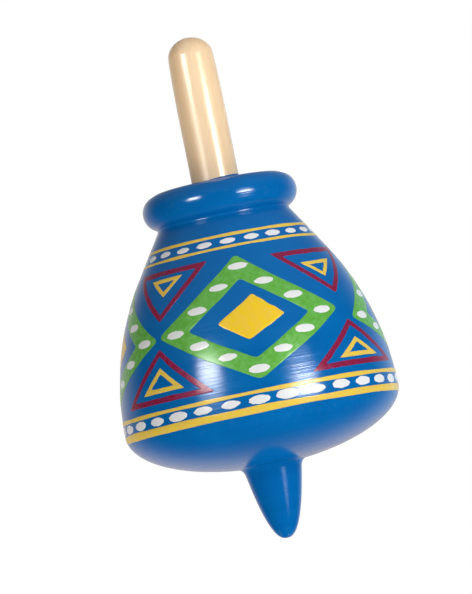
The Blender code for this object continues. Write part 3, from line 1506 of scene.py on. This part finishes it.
    def triangle(self, centre: float, shape: Triangle, drops: tuple[float, float]) -> Skin:
        """An outlined triangle: the band between it and itself shrunk towards its inner circle's middle.

        With sides a, b, c the middle is (aA + bB + cC) / (a + b + c), and the inner circle's radius is twice
        the area over the sum of the sides. Shrinking by stroke / radius keeps the stroke's width even.

        Args:
            centre: turn of its middle.
            shape: the triangle.
            drops: how much lower its level side and its point sit.

        Returns:
            The skin of the stroke.
        """
        hand = self.unsteady
        half = math.radians(shape.half_turn) * (1.0 + self.chance.normal(0.0, hand.triangle_size))
        turn = centre + self.chance.normal(0.0, math.radians(hand.triangle_turn))
        corners = np.array([(turn - half, shape.bar), (turn + half, shape.bar), (turn, shape.apex)])
        stray = self.chance.normal(0.0, hand.triangle * hand.stray, 3)
        corners[:, 1] += stray - np.array([drops[0], *drops])
        radius, out, _ = self.body.surface(np.array((2 * shape.bar + shape.apex) / 3))
        flat = corners * np.array([radius, 1.0 / out])
        sides = np.linalg.norm(np.roll(flat, -1, axis=0) - np.roll(flat, 1, axis=0), axis=1)
        first, second = flat[1] - flat[0], flat[2] - flat[0]
        inner_radius = abs(first[0] * second[1] - first[1] * second[0]) / sides.sum()
        middle = (sides[:, None] * corners).sum(axis=0) / sides.sum()
        path = self.closed_path(corners, per_side=48, easing=1) - middle
        sway = hand.triangle * hand.stray / inner_radius
        outer = path * (1.0 + self.strayed(len(path), hand.triangle_edge * sway))[:, None]
        inner = path * (1.0 - shape.stroke / inner_radius + self.strayed(len(path), sway))[:, None]
        return self.band(middle + inner, middle + outer, self.profile.triangle)

    def triangles(self, which: int) -> list[Skin]:
        """The outer or the inner triangles, an upper and a lower one in each gap.

        Args:
            which: 0 for the outer ones, 1 for the inner ones.

        Returns:
            The skins of their strokes.
        """
        ends = [shape.last for shape in self.diamonds]
        starts = [shape.first for shape in self.diamonds[1:]] + [self.diamonds[0].first + 360.0]
        turns = [math.radians(end + start) / 2 for end, start in zip(ends, starts)]
        drops = [gap.upper + which * gap.heart for gap in self.gaps]
        over = [self.triangle(turn, self.upper[which], (drop, drop)) for turn, drop in zip(turns, drops)]
        return over + [self.triangle(turn, self.lower[which], (0.0, gap.apex))
                       for turn, gap in zip(turns, self.gaps)]

    def build(self) -> list[Object]:
        """Paint the whole belt.

        Returns:
            Its pieces, one for each kind of mark.
        """
        shapes = self.diamonds
        strokes = {
            "belt_lines": (self.yellow, [self.line(line) for line in self.lines]),
            "belt_dabs": (self.white, [skin for row in self.rows for skin in self.row_of_dabs(row)]),
            "diamond_bands": (self.green, [self.diamond_band(number) for number in range(len(shapes))]),
            "diamond_dabs": (self.white, [skin for shape in shapes for skin in self.diamond_dabs(shape)]),
            "diamond_hearts": (self.gold, [self.diamond_heart(shape) for shape in shapes]),
            "triangle_outlines": (self.red, self.triangles(0)),
            "triangle_hearts": (self.yellow, self.triangles(1)),
        }
        paints = {paint: paint.material() for paint in dict.fromkeys(paint for paint, _ in strokes.values())}
        return [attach(joined([skin.facing_out() for skin in skins]).to_object(name, paints[paint]),
                        SPINNING_BODY)
                for name, (paint, skins) in strokes.items()]


def stage_sheet(name: str, corners: list[Vector], material: Material) -> Object:
    """A flat sheet of the studio, which is no part of the top.

    Args:
        name: the sheet's name.
        corners: its four corners, in order, seen from the side that it faces.
        material: its finish.

    Returns:
        The sheet, with a map from 0 to 1 over it.
    """
    mesh = bpy.data.meshes.new(name)
    mesh.from_pydata(corners, [], [(0, 1, 2, 3)])
    mesh.uv_layers.new(name=SHEET_MAP).data.foreach_set("uv", [0.0, 0.0, 1.0, 0.0, 1.0, 1.0, 0.0, 1.0])
    mesh.materials.append(material)
    sheet = linked(bpy.data.objects.new(name, mesh))
    return sheet


@dataclass(frozen=True)
class Softbox:
    """The gleam of a tall studio light with soft edges, which shows in the lacquer and lights nothing else.

    Attributes:
        name: the light's name.
        turn: where it stands round the top, in degrees.
        low: elevation of its lower edge, in degrees.
        high: elevation of its upper edge, in degrees.
        spread: its width as an angle, in degrees.
        radiance: how bright its face is at most; 1 is white.
        foot: share of its height over which it comes up to full brightness.
        hot: share of its height where the bright part ends.
        dim: brightness over that, as a share of the bright part's.
        soft: how far from its middle its sides begin and end to fade, as shares of its width.
        fading: where on its height the dim part begins and ends to fade.
        hot_edge: share of the bright part where that begins to fade.
    """

    name: str
    turn: float
    low: float
    high: float
    spread: float
    radiance: float
    foot: float
    hot: float
    dim: float = 0.14
    soft: tuple[float, float] = (0.1, 0.5)
    fading: tuple[float, float] = (0.3, 1.0)
    hot_edge: float = 0.6

    def material(self) -> Material:
        """The glow of its face: full near the foot, dim over its bright part, and soft at both sides.

        Returns:
            The material.
        """
        material, bench, _ = new_material(self.name)
        bench.tree.nodes.clear()
        place = bench.axes(bench.add("UVMap", uv_map=SHEET_MAP).outputs[0])
        aside = bench.math("ABSOLUTE", bench.math("SUBTRACT", place["X"], 0.5))
        face = bench.times(bench.ease(aside, *self.soft, 1.0, 0.0), bench.ease(place["Y"], 0.0, self.foot))
        upper = bench.times(bench.ease(place["Y"], *self.fading, 1.0, 0.0), self.dim)
        bright = bench.ease(place["Y"], self.hot_edge * self.hot, self.hot, 1.0 - self.dim, 0.0)
        glow = bench.times(face, bench.times(bench.plus(upper, bright), self.radiance))
        light = bench.add("Emission", {"Strength": glow}).outputs[0]
        bench.add("OutputMaterial", {"Surface": light})
        return material

    def build(self, aim: Vector, distance: float) -> Object:
        """Hang the gleam so that it faces the aim.

        Args:
            aim: the place that it faces.
            distance: from there to the gleam.

        Returns:
            The sheet that gleams.
        """
        turn = math.radians(self.turn)
        away = Vector((math.sin(turn), -math.cos(turn), 0.0)) * distance
        half = distance * math.tan(math.radians(self.spread / 2))
        aside = Vector((math.cos(turn), math.sin(turn), 0.0)) * half
        foot, head = (aim + away + Vector((0.0, 0.0, distance * math.tan(math.radians(rise))))
                      for rise in (self.low, self.high))
        corners = [foot + aside, foot - aside, head - aside, head + aside]
        light = stage_sheet(self.name, corners, self.material())
        light.visible_camera = False
        light.visible_diffuse = False
        light.visible_shadow = False
        return light


@dataclass(frozen=True)
class Lamp:
    """A wide, soft studio light that isn't mirrored in the lacquer.

    Attributes:
        name: the light's name.
        turn: where it stands round the top, in degrees.
        rise: its elevation, in degrees.
        power: its power in watts.
        wide: width of its face.
        tall: height of its face.
        distance: from the aim.
        colour: the light's tint.
    """

    name: str
    turn: float
    rise: float
    power: float
    wide: float = 0.8
    tall: float = 0.4
    distance: float = 1.0
    colour: tuple[float, float, float] = (1.0, 1.0, 1.0)

    def build(self, aim: Vector) -> Object:
        """Hang the light so that it faces the aim.

        Args:
            aim: the place that it faces.

        Returns:
            The light.
        """
        turn, rise = math.radians(self.turn), math.radians(self.rise)
        away = Vector((math.sin(turn) * math.cos(rise), -math.cos(turn) * math.cos(rise), math.sin(rise)))
        data = bpy.data.lights.new(self.name, "AREA")
        data.shape = "RECTANGLE"
        data.size = self.wide
        data.size_y = self.tall
        data.energy = self.power
        data.color = self.colour
        data.cycles.use_multiple_importance_sampling = False
        lamp = linked(bpy.data.objects.new(self.name, data))
        facing = away.to_track_quat("Z", "Y").to_matrix().to_4x4()
        lamp.matrix_world = Matrix.Translation(aim + away * self.distance) @ facing
        lamp.visible_camera = False
        lamp.visible_glossy = False
        return lamp


@dataclass
class Studio:
    """Camera, lights, floor and surroundings.

    Attributes:
        below: how far below level the camera looks from, in degrees.
        lean: how far the camera is rolled, in degrees, so that the top leans to the left.
        distance: from the camera to the aim.
        aim_height: height on the spin axis near the middle of the picture.
        aim_shift: how far from that point the camera aims, along its own right and upright.
        picture_height: how much of the object's plane the picture's long side takes in.
        near_clip: nearest distance that the camera shows.
        boxes: the gleam of two softboxes in front and one behind, and the glare of a table far below.
        box_distance: from the aim to each of them.
        lamps: the lights, with one behind the top and one under the floor.
        floor_size: side of the square floor.
        floor_pale: the two levels that the floor's grey lies between.
        floor_glow: how much the floor glows by itself.
        front_shade: painted shade on the floor: its grey level in front, and from where to where along Y it
            gives way to the pale floor.
        wall: colours of the surroundings behind the top: low, high, and on the right.
        dim: colours of those on the camera's side, low and high.
    """

    below: float = 3.7
    lean: float = 11.37
    distance: float = 1.2
    aim_height: float = mm(53.2)
    aim_shift: tuple[float, float] = (mm(-0.19), mm(-2.04))
    picture_height: float = mm(123.75)
    near_clip: float = mm(10.0)
    boxes: tuple[Softbox, ...] = (Softbox("left_softbox", -38.0, 4.5, 27.5, 28.0, 21.0, 0.5, 1.0),
                                  Softbox("right_softbox", 40.0, -1.0, 26.0, 30.0, 46.0, 0.16, 0.32, 0.11),
                                  Softbox("table_glare", 41.0, -34.0, -8.0, 24.0, 2.4, 0.5, 1.0),
                                  Softbox("back_softbox", 180.0, 4.0, 28.0, 16.0, 8.0, 0.3, 0.6))
    box_distance: float = 0.9
    lamps: tuple[Lamp, ...] = (Lamp("right_key", 40.0, 10.0, 5.8), Lamp("right_fill", 100.0, 50.0, 2.4),
                               Lamp("left_fill", -40.0, 10.0, 1.8, colour=(1.0, 0.86, 0.70)),
                               Lamp("top_fill", 0.0, 80.0, 1.4, 0.4, 0.4),
                               Lamp("back_fill", 180.0, 5.0, 4.0, 0.4, 0.4),
                               Lamp("floor_bounce", 0.0, -90.0, 50.0, 4.0, 4.0, mm(60.0)))
    floor_size: float = 4.0
    floor_pale: tuple[float, float] = (0.86, 0.90)
    floor_glow: float = 0.35
    front_shade: tuple[float, float, float] = (0.52, -0.75, -0.15)
    wall: tuple[Colour, Colour, Colour] = ((0.58, 0.52, 0.50, 1.0), (0.70, 0.70, 0.74, 1.0),
                                           (0.52, 0.66, 0.82, 1.0))
    dim: tuple[Colour, Colour] = ((0.010, 0.010, 0.011, 1.0), (0.14, 0.13, 0.14, 1.0))

    def build_camera(self) -> Object:
        """Place the camera of the photograph.

        Returns:
            The camera.
        """
        below, lean = math.radians(self.below), math.radians(self.lean)
        towards = Vector((0.0, -math.cos(below), -math.sin(below)))
        upright = Vector((0.0, -math.sin(below), math.cos(below)))
        side = Vector((1.0, 0.0, 0.0))
        up = upright * math.cos(lean) + side * math.sin(lean)
        right = side * math.cos(lean) - upright * math.sin(lean)
        aim = Vector((0.0, 0.0, self.aim_height)) + right * self.aim_shift[0] + up * self.aim_shift[1]
        data = bpy.data.cameras.new("photo_camera")
        data.sensor_width = SENSOR_LONG_SIDE / MILLIMETRE
        data.lens = SENSOR_LONG_SIDE / MILLIMETRE * self.distance / self.picture_height
        data.clip_start = self.near_clip
        camera = linked(bpy.data.objects.new("photo_camera", data))
        axes = Matrix((right, up, towards)).transposed().to_4x4()
        camera.matrix_world = Matrix.Translation(aim + towards * self.distance) @ axes
        bpy.context.scene.camera = camera
        return camera

    def floor_material(self) -> Material:
        """A matt, pale floor with a faint glow and painted shade that makes it greyer in front, that shows
        from above only.

        Returns:
            The material.
        """
        material, bench, shader = new_material("floor_white")
        place = bench.place()
        low, high = (grey(level) for level in self.floor_pale)
        pale = bench.mix(bench.noise(place, scale=3.0, detail=3.0), low, high)
        # painted shade: the floor is painted grey on the camera's side, away from the top
        level, start, end = self.front_shade
        pale = bench.mix(bench.ease(bench.axes(place)["Y"], start, end), grey(level), pale)
        bench.fill(shader, {"Base Color": pale, "Roughness": 1.0, "Specular IOR Level": 0.0,
                            "Emission Color": grey(1.0), "Emission Strength": self.floor_glow})
        below = bench.add("NewGeometry").outputs["Backfacing"]
        clear = bench.add("BsdfTransparent").outputs[0]
        both = bench.add("MixShader", {0: below, 1: shader.outputs[0], 2: clear}).outputs[0]
        bench.fill(bench.tree.nodes["Material Output"], {"Surface": both})
        return material

    def build_floor(self) -> Object:
        """Lay the floor under the tip, unseen by the top, which is lit from under it.

        Returns:
            The floor.
        """
        half = self.floor_size / 2
        corners = [Vector((across * half, deep * half, 0.0))
                   for across, deep in ((-1, -1), (1, -1), (1, 1), (-1, 1))]
        floor = stage_sheet("floor", corners, self.floor_material())
        floor.visible_diffuse = False
        floor.visible_glossy = False
        floor.visible_shadow = False
        return floor

    def build_world(self) -> bpy.types.World:
        """Set up the surroundings.

        The camera sees white. The lacquer mirrors a pale wall behind the top, bluish on the right, and a dim
        room on the camera's side. The ranges below are of a direction's parts, which run from -1 to 1.

        Returns:
            The world.
        """
        world = bpy.data.worlds.new("white_studio")
        world.use_nodes = True
        bpy.context.scene.world = world
        bench = NodeBench(world.node_tree)
        bench.tree.nodes.clear()
        axes = bench.axes(bench.add("TexCoord").outputs["Generated"])
        tall = bench.times(bench.ease(axes["Z"], -0.8, -0.35, 0.5, 1.0),
                           bench.ease(axes["Z"], 0.1, 0.6, 1.0, 0.3))
        share = bench.times(bench.ease(axes["Y"], 0.32, 1.0), tall)
        low, high, right = self.wall
        wall = bench.mix(bench.ease(axes["Z"], -0.1, 0.35), low, high)
        wall = bench.mix(bench.ease(axes["X"], 0.0, 0.5), wall, right)
        dim = bench.mix(bench.ease(axes["Z"], 0.3, 0.8), *self.dim)
        room = bench.add("Background", {"Color": bench.mix(share, dim, wall)}).outputs[0]
        paper = bench.add("Background", {"Color": grey(1.0)}).outputs[0]
        seen = bench.add("LightPath").outputs["Is Camera Ray"]
        both = bench.add("MixShader", {0: seen, 1: room, 2: paper}).outputs[0]
        bench.add("OutputWorld", {"Surface": both})
        return world

    def build(self) -> None:
        """Set up the whole studio."""
        self.build_camera()
        self.build_floor()
        self.build_world()
        aim = Vector((0.0, 0.0, self.aim_height))
        for lamp in self.lamps:
            lamp.build(aim)
        for box in self.boxes:
            box.build(aim, self.box_distance)
        bpy.context.scene.view_settings.view_transform = "Standard"


def main() -> None:
    """Build and dress the top from the tip up, then set up the studio round it."""
    logging.basicConfig(level=logging.INFO, format="%(name)s: %(message)s")
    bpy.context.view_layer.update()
    tip = Tip()
    body = Body()
    collar = Collar()
    pieces = [tip.build(), body.build(), collar.build(), Stem().build()]
    pieces += LacquerSeams(body, tip, collar).build()
    pieces += PaintedBelt(body).build()
    for piece in pieces:
        LOG.info("%s: %d faces", piece.name, len(piece.data.polygons))
    Studio().build()


if __name__ == "__main__":
    main()
